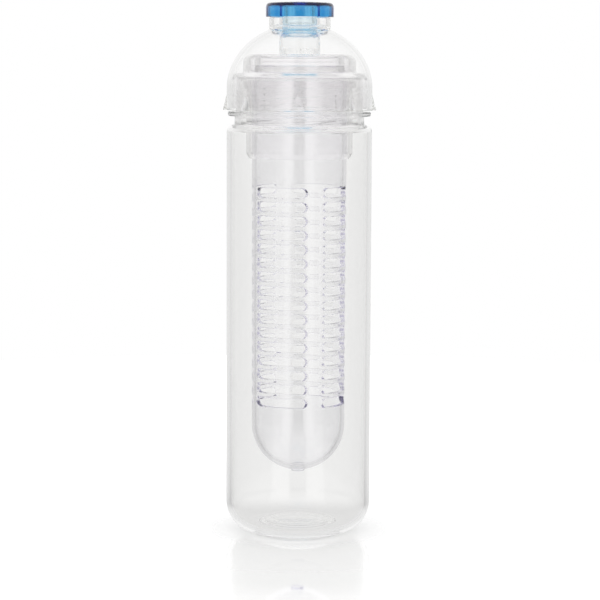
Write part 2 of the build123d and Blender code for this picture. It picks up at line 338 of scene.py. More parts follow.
# %% Clear plastic and milky silicone


def noise_on_object(tree, waves, stretch=(1, 1, 1)):
    """Noise that is fixed to the piece, so many waves per metre, drawn out along an axis."""
    place = new_node(tree, "TexCoord", {}).outputs["Object"]
    mapping = new_node(tree, "Mapping", {"Vector": place, "Scale": stretch})
    noise = new_node(tree, "TexNoise", {"Vector": mapping.outputs["Vector"], "Scale": waves})
    return noise.outputs["Fac"]


def clear_plastic(name, tint, inside=None, ior=1.55, gloss=(0.0, 0.03), wave=0.004 * mm,
                  waves=(60.0, 90.0), stretch=(1, 1, 0.35)):
    """Clear plastic: full transmission, a near-white tint, uneven gloss and a faint waviness.

    A first noise, from 0.3 to 0.7, is carried onto the two values of gloss. A second one tilts the
    skin as if it rose and fell by the wave's height. Waves are how many of each fit in a metre.
    Inside is a colour and a density of absorption: per metre, density times (1 - colour) is lost.
    """
    material, tree, shader = new_material(name, {
        "Base Color": (*tint, 1), "Transmission Weight": 1.0, "IOR": ior})
    gloss_noise = noise_on_object(tree, waves[0])
    skin_noise = noise_on_object(tree, waves[1], stretch)
    uneven = new_node(tree, "MapRange", {"Value": gloss_noise, "From Min": 0.3, "From Max": 0.7,
                                         "To Min": gloss[0], "To Max": gloss[1]})
    bump = new_node(tree, "Bump", {"Height": skin_noise, "Strength": 1.0, "Distance": wave})
    feed(tree, shader.inputs["Roughness"], uneven.outputs["Result"])
    feed(tree, shader.inputs["Normal"], bump.outputs["Normal"])
    if inside:
        colour, density = inside
        volume = new_node(tree, "VolumeAbsorption", {"Color": (*colour, 1), "Density": density})
        feed(tree, tree.nodes["Material Output"].inputs["Volume"], volume.outputs["Volume"])
    return material


bottle_plastic = clear_plastic("bottle_plastic", (0.965, 0.964, 0.96))
lid_plastic = clear_plastic("lid_plastic", (1.0, 1.0, 0.998), ior=1.5,
                            inside=((0.2, 0.2, 0.1), 2.5))
liner_plastic = clear_plastic("inner_lid_plastic", (1.0, 0.996, 1.0), ior=1.43, gloss=(0.03, 0.07),
                              wave=0.0015 * mm)
basket_plastic = clear_plastic("infuser_plastic", (0.994, 0.994, 0.995),
                               inside=((0.5, 0.46, 0.68), 14.0))
silicone = clear_plastic("milky_silicone", (0.99, 0.99, 0.985), ior=1.41, gloss=(0.12, 0.2),
                         waves=(400.0, 1500.0), stretch=(1, 1, 1))
print("materials:", [m.name for m in bpy.data.materials])

# %% [markdown]
# ## The bottle
# The bottle is blown and finished with a moulded neck: a flat foot ring round a pushed-up centre, an
# elliptical bottom corner, a straight wall, a small shoulder, a support ring and the threaded neck.
# Its sizes hang on the two that the frame gives, the body's radius and the height of the rim, so
# the bottle still fits its lid when either one changes.

# %% Sizes of the bottle
body_wall = 2.2 * mm
floor_thickness = 2.6 * mm
corner_width, corner_height = 11.8 * mm, 13.7 * mm
foot_radius = body_radius - corner_width
foot_inner_radius = foot_radius - 3.6 * mm
punt_radius = foot_inner_radius - 2.1 * mm
punt_step, punt_height = 1.6 * mm, 5.0 * mm
shoulder_z = rim_z - 20.1 * mm
neck_radius = body_radius - 3.55 * mm
neck_bore = neck_radius - 2.55 * mm
root_radius = neck_radius - 0.75 * mm
support_radius = neck_radius + 3.05 * mm
support_z = (rim_z - 16.2 * mm, rim_z - 14.2 * mm)
neck_thread_depth = 0.2 * mm
neck_thread_z = rim_z - 10.4 * mm
neck_thread_sweep = np.radians(285)
shoulder_round, inner_shoulder_round = 3.2 * mm, 1.2 * mm
neck_round, inner_neck_round, support_round, rim_round = 0.5 * mm, 0.6 * mm, 0.7 * mm, 0.4 * mm
foot_round = 2.2 * mm
print(f"neck {2 * neck_radius / mm:.1f} mm wide with a bore of {2 * neck_bore / mm:.1f} mm")

# %% [markdown]
# The outline runs from the axis under the base, up the outside, over the rim and down the inside
# back to the axis, so the wall is closed. Solidify could give a single skin its thickness, but it
# would press the thread through to the inside and give neck, wall and base the same thickness. The
# thread swells only the outside of the neck.

# %% Bottle with its threaded neck


def crowned_floor(edge, edge_z, middle_z):
    """Shallow dome of the pushed-up base: a circle through its edge with its middle on the axis."""
    rise = middle_z - edge_z
    radius = (edge ** 2 + rise ** 2) / (2 * rise)
    reach_angle = np.degrees(np.arcsin(edge / radius))
    return arc((0, middle_z - radius), (radius, radius), 90, 90 - reach_angle, 14)


def bottle_outline():
    """From the axis under the base, up the outside, over the rim and down inside to the axis.

    A corner on the pushed-up base, a run-in away from its edge, only gives the edge's round a
    direction.
    """
    inner = body_radius - body_wall
    inner_step, inner_height = punt_step + floor_thickness, punt_height + floor_thickness
    run_in, run_in_rise = 1.0 * mm, 0.12 * mm
    corner_centre = (foot_radius, corner_height)
    outer_half_axes = (corner_width, corner_height)
    inner_half_axes = (corner_width - body_wall, corner_height - floor_thickness)
    upper = rounded([
        (body_radius, corner_height, 0),
        (body_radius, shoulder_z, shoulder_round),
        (neck_radius, shoulder_z, neck_round),
        (neck_radius, support_z[0], neck_round),
        (support_radius, support_z[0], support_round),
        (support_radius, support_z[1], support_round),
        (root_radius, support_z[1], neck_round),
        (root_radius, rim_z, rim_round),
        (neck_bore, rim_z, rim_round),
        (neck_bore, shoulder_z - body_wall, inner_neck_round),
        (inner, shoulder_z - body_wall, inner_shoulder_round),
        (inner, corner_height, 0),
    ], closed=False)
    outside = [
        crowned_floor(punt_radius, punt_step, punt_height)[:-1],
        rounded([
            (punt_radius - run_in, punt_step + run_in_rise, 0),
            (punt_radius, punt_step, foot_round),
            (foot_inner_radius, 0, foot_round),
            (foot_radius, 0, 0),
        ], closed=False)[1:],
        arc(corner_centre, outer_half_axes, -90, 0, 28)[1:-1],
    ]
    inside = [
        arc(corner_centre, inner_half_axes, 0, -90, 28)[1:],
        rounded([
            (foot_radius, floor_thickness, 0),
            (foot_inner_radius, floor_thickness, foot_round),
            (punt_radius, inner_step, foot_round),
            (punt_radius - run_in, inner_step + run_in_rise, 0),
        ], closed=False)[1:-1],
        crowned_floor(punt_radius, inner_step, inner_height)[-2::-1],
    ]
    return np.vstack(outside + [upper] + inside)


def neck_thread(t, r, z):
    """Thread on the outside of the neck only."""
    ridge = thread(t, z, neck_thread_z, lid_lead, neck_thread_sweep, lid_ridge_width,
                   neck_thread_depth)
    return on_wall(r, root_radius, ridge)


outline = finer(bottle_outline(), low=rim_z - 12 * mm, high=rim_z, step=0.28 * mm)
add_piece("water_bottle", turn(outline, even_angles(288), neck_thread), bottle_plastic,
          "bottle", ["bottle_body"])

# %% [markdown]
# ## Rings of silicone
# A flat ring seals the bottle's rim, and a thicker one with soft edges seals the infuser's mouth. In
# the photograph the second one shows as a pale capsule through the dome. Each is four corners with a
# round. They stay a hair's breadth clear of the plastic that they touch: two clear surfaces in the
# same place would leave the renderer to guess which comes first.

# %% Gasket and seal
film = 0.02 * mm
gasket_width, seal_width = 2.4 * mm, 2.5 * mm
gasket_round, seal_round = 0.3 * mm, 1.1 * mm


def ring_outline(bore, radius, bottom, top, soft):
    """Four corners of a ring's section with the same round."""
    return rounded([(bore, bottom, soft), (radius, bottom, soft),
                    (radius, top, soft), (bore, top, soft)])


gasket = ring_outline(gasket_radius - gasket_width, gasket_radius, gasket_z + film,
                      flange_z - 2.2 * film, gasket_round)
seal = ring_outline(seal_radius - seal_width, seal_radius - film, seal_z + film, seat_z - film,
                    seal_round)

add_piece("neck_gasket", turn(gasket, even_angles(192)), silicone,
          "gasket", ["rim_gasket"])
add_piece("mouth_seal", turn(seal, even_angles(192)), silicone,
          "seal", ["infuser_seal"])

# %% [markdown]
# ## The inner lid
# Inside the dome sits a second, threaded lid. Its skirt screws onto the neck, its flange presses on
# the gasket, and its raised well holds the sleeve. On the real lid the dome is snapped over it,
# because one mould can't form a closed dome and a threaded cup inside it. The thread is pressed
# inwards here, half a pitch away from the neck's ridges, so the two run in each other's gaps.

# %% Inner lid with its inside thread
sleeve_wall = 1.9 * mm
skirt_bore = skirt_radius - 1.0 * mm
flange_top_z = flange_z + 1.8 * mm
plate_bottom_z = plate_z - 1.6 * mm
stop_z = sleeve_top_z + film
well_bore = sleeve_radius + 0.05 * mm
well_radius = well_bore + 1.35 * mm
well_depth = 5.0 * mm
sleeve_bore = sleeve_radius - sleeve_wall
plate_hole = 7.4 * mm
lid_thread_depth, lid_thread_sweep = 0.15 * mm, np.radians(250)
well_round, well_foot_round, flange_round = 3.2 * mm, 0.5 * mm, 3.4 * mm
flange_inner_round, plate_round, liner_round = 0.8 * mm, 0.2 * mm, 0.3 * mm


def liner_outline():
    """Section of the inner lid, listed clockwise and then turned round."""
    corners = [
        (plate_hole, plate_z - film, plate_round),
        (well_radius, plate_z - film, well_round),
        (well_radius, flange_top_z, well_foot_round),
        (skirt_radius, flange_top_z, flange_round),
        (skirt_radius, skirt_z, liner_round),
        (skirt_bore, skirt_z, liner_round),
        (skirt_bore, flange_z, flange_inner_round),
        (well_radius, flange_z, liner_round),
        (well_radius, flange_z - well_depth, liner_round),
        (well_bore, flange_z - well_depth, liner_round),
        (well_bore, stop_z, 0),
        (sleeve_bore, stop_z, 0),
        (sleeve_bore, plate_bottom_z, liner_round),
        (seal_radius, plate_bottom_z, liner_round),
        (seal_radius, seat_z, liner_round),
        (seal_radius - seal_width, seat_z, liner_round),
        (seal_radius - seal_width, plate_bottom_z, liner_round),
        (plate_hole, plate_bottom_z, plate_round),
    ]
    return rounded(corners[::-1])


def liner_thread(t, r, z):
    """The ridge that points inwards on the skirt's bore."""
    ridge = thread(t, z, neck_thread_z + lid_lead / 4, lid_lead, lid_thread_sweep, lid_ridge_width,
                   lid_thread_depth)
    return on_wall(r, skirt_bore, -ridge)


outline = finer(liner_outline(), low=skirt_z, high=flange_z, step=0.3 * mm)
add_piece("inner_lid", turn(outline, even_angles(288), liner_thread), liner_plastic,
          "lid", ["lid_liner"])

# %% [markdown]
# ## The sleeve
# The infuser screws into a sleeve that hangs from the inner lid. The photograph shows its thread as
# level lines through the wall, and a slanted edge at its foot. The thread could be left to a bump in
# the material, but a bump has no depth from the side, so it is pressed into the wall as before.

# %% Sleeve with its inside thread
infuser_thread_depth = 0.1 * mm
thread_low_z = sleeve_z + 4.5 * mm
thread_turns = 3.3
slant, slant_height = 1.3 * mm, 2.3 * mm
slant_round, sleeve_foot_round, sleeve_top_round = 0.3 * mm, 0.15 * mm, 0.1 * mm


def sleeve_outline():
    """Section of the sleeve with the slanted foot."""
    return rounded([
        (sleeve_bore, sleeve_z, sleeve_foot_round),
        (sleeve_radius - slant, sleeve_z, sleeve_foot_round),
        (sleeve_radius, sleeve_z + slant_height, slant_round),
        (sleeve_radius, sleeve_top_z, sleeve_top_round),
        (sleeve_bore, sleeve_top_z, sleeve_top_round),
    ])


def sleeve_thread(t, r, z):
    """Ridges that point inwards, half a pitch above those of the infuser."""
    ridge = thread(t, z, thread_low_z + infuser_lead / 4, infuser_lead, 2 * np.pi * thread_turns,
                   infuser_ridge_width, infuser_thread_depth)
    return on_wall(r, sleeve_bore, -ridge)


outline = finer(sleeve_outline(), low=sleeve_z, high=sleeve_top_z, step=0.35 * mm)
add_piece("infuser_sleeve", turn(outline, even_angles(216), sleeve_thread), liner_plastic,
          "lid", ["infuser_holder"])

# %% [markdown]
# ## The domed lid
# The outer lid is an elliptical dome with a collar on top, which the blue cap sits in, and with the
# drinking tube inside. A scaled sphere could be its dome, but the collar and the tube would then
# have to be cut into it. As one outline all of it is a single moulding with an even wall. The dome's
# height over a radius comes from the formula of the ellipse, so the collar and the tube start
# exactly on it.

# %% Outline of the dome, the collar and the drinking tube
dome_wall = 1.8 * mm
dome_inner = skirt_radius + 0.3 * mm
dome_radius = dome_inner + dome_wall
waist_z = rim_z - 3.6 * mm
dome_rise = 29.2 * mm
edge_radius_low = dome_radius + 0.2 * mm
collar_radius, collar_bore = 13.9 * mm, 12.0 * mm
tube_bore = 8.25 * mm
tube_radius = tube_bore + 1.0 * mm
tube_top_z = collar_z - 0.2 * mm
lip_radius, lip_z = tube_bore - 0.3 * mm, tube_top_z - 0.7 * mm
collar_round, collar_foot_round, tube_foot_round = 0.35 * mm, 0.3 * mm, 0.5 * mm
tube_top_round, tube_round, lip_round = 0.2 * mm, 0.15 * mm, 0.1 * mm
bevel = 0.2 * mm


def dome_arc(widest, rise, outer, inner, steps=40):
    """Points of the elliptical dome between two radii."""
    start, finish = np.degrees(np.arccos(outer / widest)), np.degrees(np.arccos(inner / widest))
    return arc((0, waist_z), (widest, rise), start, finish, steps)


def dome_height(radius, widest=dome_radius, rise=dome_rise):
    """Height of the dome over a radius: rise times the root of 1 - (radius / widest) squared."""
    return waist_z + rise * np.sqrt(1 - (radius / widest) ** 2)


def dome_outline():
    """From the lid's edge over the dome, the collar and the tube, and back inside.

    The first and the last corner of the middle only give their neighbours a direction.
    """
    inner_rise = dome_rise - dome_wall
    ceiling = dome_height(tube_radius, dome_inner, inner_rise)
    low = np.linspace(lid_edge_z, waist_z, 26)[:-1]
    taper = (dome_radius - edge_radius_low) * (low - lid_edge_z) / (waist_z - lid_edge_z)
    middle = rounded([
        (collar_radius + 0.6 * mm, dome_height(collar_radius) - 0.35 * mm, 0),
        (collar_radius, dome_height(collar_radius), collar_foot_round),
        (collar_radius, collar_z, collar_round),
        (collar_bore, collar_z, collar_round),
        (collar_bore, dome_height(collar_bore), tube_foot_round),
        (tube_radius, dome_height(tube_radius), tube_foot_round),
        (tube_radius, tube_top_z, tube_top_round),
        (lip_radius, tube_top_z, tube_round),
        (lip_radius, lip_z, lip_round),
        (tube_bore, lip_z, lip_round),
        (tube_bore, plate_z + film, tube_round),
        (tube_radius, plate_z + film, tube_round),
        (tube_radius, ceiling, tube_foot_round),
        (tube_radius + 0.8 * mm, ceiling - 0.15 * mm, 0),
    ], closed=False)[1:-1]
    return np.vstack([
        np.column_stack([edge_radius_low + taper, low]),
        dome_arc(dome_radius, dome_rise, dome_radius, collar_radius + 0.5 * mm),
        middle,
        dome_arc(dome_inner, inner_rise, tube_radius + 0.7 * mm, dome_inner),
        [(dome_inner, lid_edge_z + bevel), (dome_inner + bevel, lid_edge_z)],
    ])


print(f"the dome is {2 * dome_radius / mm:.1f} mm wide and meets its collar at "
      f"{dome_height(collar_radius) / mm:.1f} mm")

# %% [markdown]
# Eight wedges round the lid's edge give the hand a grip: each has two flat faces that meet on a ridge
# and run out upwards. A wedge could be a separate solid, but its hidden inner face would show in
# clear plastic. So the wall itself is pushed out, and the columns of the grid follow the wedge's
# edges, which keeps its folds crisp.

# %% Wedge grips and the whole lid
grip_count, grip_turn = 8, np.radians(-91.5)
grip_height, grip_width, grip_reach = 7.1 * mm, 6.4 * mm, 1.6 * mm
grip_ease_height = 9 * mm


def wedge_columns(outline, per_grip=32, least=0.2):
    """Angles for each column and outline point, so that half of the columns stay inside the wedges.

    A wedge's half angle at height z is arcsin of its half width over the radius. Towards its tip
    the columns keep the least share of that, and above it they ease back to even steps.
    """
    share = np.arange(per_grip) / per_grip * 2 - 1
    z = outline[:, 1][None, :]
    left_over = np.maximum(1 - (z - lid_edge_z) / grip_height, least)
    narrow = np.arcsin(grip_width / 2 * left_over / edge_radius_low)
    even = np.pi / grip_count / 2
    above = smooth((z - lid_edge_z - grip_height) / grip_ease_height)
    inner = narrow + (even - narrow) * above
    size = np.abs(share)[:, None]
    beyond = inner + (np.pi / grip_count - inner) * (size - 0.5) / 0.5
    local = np.where(size <= 0.5, size / 0.5 * inner, beyond)
    local = np.sign(share)[:, None] * local
    sectors = grip_turn + np.arange(grip_count) * 2 * np.pi / grip_count
    return (sectors[:, None, None] + local[None]).reshape(-1, len(outline))


def wedge_grips(t, r, z):
    """Height of the wedges: reach times what is left of the wedge at z, less its slope across."""
    step = 2 * np.pi / grip_count
    across = np.abs(r * np.sin(np.mod(t - grip_turn + step / 2, step) - step / 2))
    left_over = 1 - (z - lid_edge_z) / grip_height
    ridge = grip_reach * left_over - 2 * grip_reach / grip_width * across
    return np.where(r > dome_inner + 0.9 * dome_wall, np.maximum(ridge, 0), 0)


outline = dome_outline()
add_piece("lid_shell", turn(outline, wedge_columns(outline), wedge_grips), lid_plastic,
          "lid", ["lid_dome"], crease=20.0)

# %% [markdown]
# ## The fruit infuser
# The basket is the finest piece: sixty-four round-ended slots in four columns. The slots of one
# column are cut straight through by one slide of the mould, so their end walls slant against the
# round of the tube and show as dark brackets. Booleans could cut them, but they leave long, thin
# triangles that ripple in clear plastic. Instead one cell, a slot with the wall round it, is a set of
# rings that grow from the slot's edge to the cell's border, and the cell is repeated. The first step
# is the two loops that the rings lie between.

# %% Edge of one slot and border of its cell
slot_rows, slot_columns = 16, 4
slot_pitch, slot_height, slot_width = 6.33 * mm, 4.0 * mm, 23.2 * mm
slot_turn = np.radians(-90.0 - 25.0)
basket_wall = 1.9 * mm
round_end_radius = basket_radius - 0.3 * mm
pad_height = 0.7 * mm
round_end_z = tip_z + pad_height + round_end_radius
first_slot_z = round_end_z + 12.1 * mm
cells_low_z = first_slot_z - slot_pitch / 2
cells_high_z = first_slot_z + (slot_rows - 0.5) * slot_pitch
edge_cut = 0.3 * mm
# Steps along a quarter of a slot's edge: up its side, round its end and along its straight top.
side_steps, end_steps, straight_steps = 8, 6, 24


def basket_at(z, depth=0.0):
    """Radius at height z, a depth inside the outer skin: the basket widens a little upwards."""
    share = (z - round_end_z) / (basket_top_z - round_end_z)
    return round_end_radius + (basket_radius - round_end_radius) * share - depth


def slot_loop(grow=0.0):
    """A slot's edge, grown outwards by a length, as points (across, up).

    It starts low on the round right end and goes up over the top. The second half is the first
    one turned by half a turn, so only one half is worked out.
    """
    radius, middle = slot_height / 2 + grow, (slot_width - slot_height) / 2
    step = 90 / (side_steps / 2 + end_steps)
    right = np.radians(np.arange(side_steps + end_steps) * step - side_steps / 2 * step)
    left = np.radians(90 + np.arange(end_steps) * step)
    top = np.linspace(middle, -middle, straight_steps + 1)[:-1]
    half = np.vstack([
        np.column_stack([middle + radius * np.cos(right), radius * np.sin(right)]),
        np.column_stack([top, np.full(straight_steps, radius)]),
        np.column_stack([-middle + radius * np.cos(left), radius * np.sin(left)]),
    ])
    return np.vstack([half, -half])


def border_loop():
    """The cell's border as points (angle, up), matched one to one with the slot's edge."""
    corner, knee = np.pi / slot_columns, np.arcsin((slot_width - slot_height) / 2 / basket_radius)
    up = slot_pitch / 2
    top = np.concatenate([np.linspace(corner, knee, end_steps + 1)[:-1],
                          np.linspace(knee, -knee, straight_steps + 1)[:-1],
                          np.linspace(-knee, -corner, end_steps + 1)[:-1]])
    half = np.vstack([
        np.column_stack([np.full(side_steps, corner), np.linspace(-up, up, side_steps + 1)[:-1]]),
        np.column_stack([top, np.full(len(top), up)]),
    ])
    return np.vstack([half, -half])


print("one slot's edge has", len(slot_loop()), "points")

# %% [markdown]
# A ring between the two loops is a mix of them by a share, and it is worked out for all slots of a
# column at once. The rings go from the border on the outer skin to the slot, through the slot along
# its wall, and back to the border on the inner skin. A small cut edge, as a mould leaves it, keeps
# the slot from ending in a knife's edge that no light can catch.

# %% Cells of the basket's wall


def skin_rings(depth, shares):
    """Rings of a cell on the skin at a depth: mixes of the border and the slot's cut edge.

    Works for all rows at once and gives angle, radius and height with one axis for rows of slots.
    """
    border, edge = border_loop(), slot_loop(edge_cut)
    middle_z = first_slot_z + slot_pitch * np.arange(slot_rows)[:, None, None]
    share = np.asarray(shares)[None, :, None]
    edge_z = middle_z + edge[None, None, :, 1]
    edge_angle = np.arcsin(edge[None, None, :, 0] / basket_at(edge_z, depth))
    angle = border[None, None, :, 0] * (1 - share) + edge_angle * share
    z = (middle_z + border[None, None, :, 1]) * (1 - share) + edge_z * share
    return angle, basket_at(z, depth), z


def wall_rings():
    """The two rings of the slot's wall, just inside the outer and the inner cut edge."""
    loop = slot_loop()
    z = first_slot_z + slot_pitch * np.arange(slot_rows)[:, None, None] + loop[None, None, :, 1]
    radius = basket_at(z, np.array([edge_cut, basket_wall - edge_cut])[None, :, None])
    z = z + 0 * radius
    return np.arcsin(loop[None, None, :, 0] / radius), radius, z


def basket_cells():
    """All slots with their walls: rings from the outer border by the slot to the inner border."""
    shares = np.array([0, 0.35, 0.72, 1.0])  # 0 is the border, 1 the slot's cut edge
    parts = [skin_rings(0.0, shares), wall_rings(), skin_rings(basket_wall, shares[::-1])]
    angle, radius, z = (np.concatenate(group, axis=1) for group in zip(*parts))
    turns = slot_turn + np.arange(slot_columns)[:, None, None, None] * 2 * np.pi / slot_columns
    angle = angle[None] + turns
    points = np.stack([radius[None] * np.cos(angle), radius[None] * np.sin(angle),
                       z[None] + 0 * angle], axis=-1)
    rings, around = angle.shape[2:]
    ring, spot = np.arange(rings - 1)[:, None], np.arange(around)[None, :]
    following = (spot + 1) % around
    quads = np.stack([ring * around + spot, ring * around + following,
                      (ring + 1) * around + following, (ring + 1) * around + spot], axis=-1)
    firsts = np.arange(slot_columns * slot_rows)[:, None, None] * rings * around
    quads = quads.reshape(1, -1, 4) + firsts
    return points.reshape(-1, 3), quads.reshape(-1, 4), np.zeros((0, 3), int)


cells = basket_cells()
print(slot_columns * slot_rows, "slots with", len(cells[1]), "quads")

# %% [markdown]
# Above the cells comes the plain, threaded mouth, and below them the round end with the pad where
# the plastic was let into the mould. Both use the same angles as the cells' borders, so the parts
# weld into one closed skin.

# %% Mouth, round end and the whole infuser
mouth_round = 0.4 * mm
pad_radius, pad_foot_radius = 3.0 * mm, 3.3 * mm
pad_round, pad_foot_round = 0.2 * mm, 0.1 * mm


def basket_angles():
    """Angles of the cells' borders, all the way round."""
    border = border_loop()
    top = np.sort(border[np.isclose(border[:, 1], slot_pitch / 2)][:, 0])[1:]
    turns = slot_turn + np.arange(slot_columns) * 2 * np.pi / slot_columns
    return (turns[:, None] + top[None, :]).reshape(-1)


def mouth_outline():
    """From the top of the cells up the outside, over the rim and down inside."""
    low = cells_high_z
    return rounded([
        (basket_at(low), low, 0),
        (basket_at(basket_top_z), basket_top_z - film, mouth_round),
        (basket_at(basket_top_z, basket_wall), basket_top_z - film, mouth_round),
        (basket_at(low, basket_wall), low, 0),
    ], closed=False)


def infuser_thread(t, r, z):
    """Ridges on the outside of the mouth."""
    ridge = thread(t, z, thread_low_z, infuser_lead, 2 * np.pi * thread_turns,
                   infuser_ridge_width, infuser_thread_depth)
    return on_wall(r, basket_at(z), ridge)


def sphere_z(radius):
    """Height of the round end's skin: its centre's, less the root of R squared - r squared."""
    return round_end_z - np.sqrt(round_end_radius ** 2 - radius ** 2)


def round_end_outlines():
    """The outside from the pad on the axis up to the cells, and the inside back to the axis."""
    pad_angle = np.degrees(np.arcsin(pad_foot_radius / round_end_radius))
    low = cells_low_z
    outside = np.vstack([
        rounded([
            (0, tip_z, 0),
            (pad_radius, tip_z, pad_round),
            (pad_radius, sphere_z(pad_radius), pad_foot_round),
            (pad_foot_radius, sphere_z(pad_foot_radius), 0),
        ], closed=False)[:-1],
        arc((0, round_end_z), (round_end_radius, round_end_radius), -90 + pad_angle, 0, 36),
        [(basket_at(low), low)],
    ])
    inner = round_end_radius - basket_wall
    inside = np.vstack([
        [(basket_at(low, basket_wall), low)],
        arc((0, round_end_z), (inner, inner), 0, -90, 36),
    ])
    inside[-1, 0] = 0
    return outside, inside


def join(*surfaces):
    """Several surfaces as one list of points, quads and triangles."""
    firsts = np.cumsum([0] + [len(surface[0]) for surface in surfaces])
    parts = [(p, q + first, t + first) for first, (p, q, t) in zip(firsts, surfaces)]
    return [np.vstack(part) for part in zip(*parts)]


angles = basket_angles()
mouth = finer(mouth_outline(), low=thread_low_z - 2 * mm, high=basket_top_z, step=0.5 * mm,
              closed=False)
below, within = round_end_outlines()
infuser = join(cells, turn(mouth, angles, infuser_thread, closed=False),
               turn(below, angles), turn(within, angles))
add_piece("fruit_infuser", infuser, basket_plastic, "infuser", ["infuser_basket"])

# %% [markdown]
# ## The mouthpiece
# The only coloured piece is the pull-up spout, a crowned cap with the drinking hole. The blue is in
# the plastic, not on it, so the shader gets a volume that swallows red light with depth. Where the
# light crosses the cap edgewise it comes out navy. The photograph shows three darker squares across
# the cap's front. They fit eight thicker pads inside its wall, so the pads are modelled, and the
# volume darkens them by itself. Painted squares would stay the same from every side. The pads have
# soft edges, because a steep one draws a black line.

# %% Blue cap
cap_wall, cap_crown = 1.2 * mm, 0.7 * mm
cap_bore = cap_radius - cap_wall
pad_count, pad_depth = 8, 0.85 * mm
pad_half_angle, pad_edge_angle = np.radians(10.0), np.radians(16.0)
hole_radius = 3.0 * mm
hole_round, crown_round, cap_inner_round, cap_round = 0.4 * mm, 1.8 * mm, 0.5 * mm, 0.3 * mm


def cap_outline():
    """Section of the cap, listed clockwise from the drinking hole and then turned round."""
    corners = [
        (hole_radius, cap_top_z, hole_round),
        (cap_radius, cap_top_z - cap_crown, crown_round),
        (cap_radius, cap_bottom_z, cap_round),
        (cap_bore, cap_bottom_z, cap_round),
        (cap_bore, stem_top_z, cap_inner_round),
        (hole_radius, stem_top_z, cap_round),
    ]
    return rounded(corners[::-1])


def cap_pads(t, r, z):
    """The pads inside the cap's wall, from its lower edge up to the crown, one of them in front.

    A pad is half its depth at its half angle, and it eases in and out over its edge angle.
    """
    step = 2 * np.pi / pad_count
    off = np.abs(np.mod(t + np.pi / 2 + step / 2, step) - step / 2)
    depth = pad_depth * smooth((pad_half_angle - off) / pad_edge_angle + 0.5)
    # The rounds at the wall's lower edge and under the crown move with it.
    inside = (r < cap_bore + 0.35 * mm) & (r > cap_bore - 0.55 * mm) & (z < stem_top_z + 0.01 * mm)
    return np.where(inside, -depth, 0)


blue = clear_plastic("clear_blue", (1, 1, 1), ior=1.5, gloss=(0.02, 0.08), wave=0.01 * mm,
                     waves=(300.0, 250.0), stretch=(1, 1, 1), inside=((0.08, 0.685, 0.892), 900.0))
add_piece("spout_cap", turn(cap_outline(), even_angles(288), cap_pads), blue,
          "mouthpiece", ["pull_cap"])

# %% [markdown]
# The stem under the cap slides in the drinking tube. It is almost clear: the photograph shows only a
# breath of blue in it, so it has a weak absorption of its own. A bead stops it under the tube's lip
# when the cap is pulled up, and a groove holds a small silicone ring, which keeps the slide tight.

# %% Clear stem and its ring
pull = 3.5 * mm
stem_radius = lip_radius - 0.08 * mm
stem_bore = stem_radius - 2.25 * mm
bead_top_z = lip_z - pull - 2 * film
bead_low_z = bead_top_z - 0.5 * mm
groove_low_z = ring_z - 0.05 * mm
ring_width, ring_round = 1.25 * mm, 0.3 * mm
groove_radius = ring_radius - ring_width - 0.1 * mm
stem_round, bead_round = 0.2 * mm, 0.1 * mm


def stem_outline():
    """Section of the stem, listed clockwise from its welded top and then turned round."""
    corners = [
        (stem_radius, stem_top_z - film, bead_round),
        (stem_radius, bead_top_z, bead_round),
        (bead_radius, bead_top_z, bead_round),
        (bead_radius, bead_low_z, bead_round),
        (groove_radius, bead_low_z, bead_round),
        (groove_radius, groove_low_z, bead_round),
        (stem_radius, groove_low_z, bead_round),
        (stem_radius, stem_z, stem_round),
        (stem_bore, stem_z, stem_round),
        (stem_bore, stem_top_z - film, stem_round),
    ]
    return rounded(corners[::-1])


stem_plastic = clear_plastic("stem_plastic", (1, 1, 1), ior=1.5, inside=((0.4, 0.8, 0.94), 65.0))
add_piece("spout_stem", turn(stem_outline(), even_angles(160)), stem_plastic,
          "mouthpiece", ["cap_stem"])
ring = ring_outline(ring_radius - ring_width, ring_radius, ring_z + film, ring_top_z - film,
                    ring_round)
add_piece("stem_ring", turn(ring, even_angles(128)), silicone,
          "mouthpiece", ["stem_seal"])

# %% [markdown]
# ## The valve pin
# The pin on its ribbed spider closes the drinking hole when the cap is down. It could be built anew
# like the others, but it is small, mostly flat-faced and well hidden in the tube, so the packed
# solid is kept and only gets the lid's plastic.

# %% Plastic for the pin
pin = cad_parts["valve_pin"]
pin.data.materials.clear()
pin.data.materials.append(lid_plastic)
print("pin:", len(pin.data.polygons), "faces")

# %% [markdown]
# ## The studio
# A clear thing is drawn by what stands round it. Product photographers put it before white paper and
# keep the space round the camera dim, with a long softbox on each side. The paper shines through the
# walls, the dim front is mirrored in them, and the bright back lights the edges, where a wall
# mirrors almost everything. The world is that room. Rays that have only passed through the plastic
# see the paper, and rays that were mirrored on the way see the room in their own direction. A ray
# that was mirrored more than once has lost its direction between the walls, and it sees plain white.

# %% Short ways to write levels


def combine(tree, operation, *values):
    """Math node on sockets or numbers."""
    node = tree.nodes.new("ShaderNodeMath")
    node.operation = operation
    for number, value in enumerate(values):
        feed(tree, node.inputs[number], value)
    return node.outputs[0]


def curve(tree, value, points):
    """Level that follows a value through points (value, level), eased between them."""
    ramp = tree.nodes.new("ShaderNodeValToRGB")
    ramp.color_ramp.interpolation = "EASE"
    stops = ramp.color_ramp.elements
    while len(stops) < len(points):
        stops.new(0.5)
    for stop, (place, level) in zip(stops, points):
        stop.position = place
        stop.color = (level, level, level, 1)
    feed(tree, ramp.inputs["Fac"], value)
    return ramp.outputs["Color"]


def blend(tree, share, first, second):
    """Mix of two levels, sockets or numbers, by a share."""
    node = tree.nodes.new("ShaderNodeMix")
    node.data_type = "FLOAT"
    for name, value in (("Factor", share), ("A", first), ("B", second)):
        feed(tree, node.inputs[name], value)
    return node.outputs["Result"]


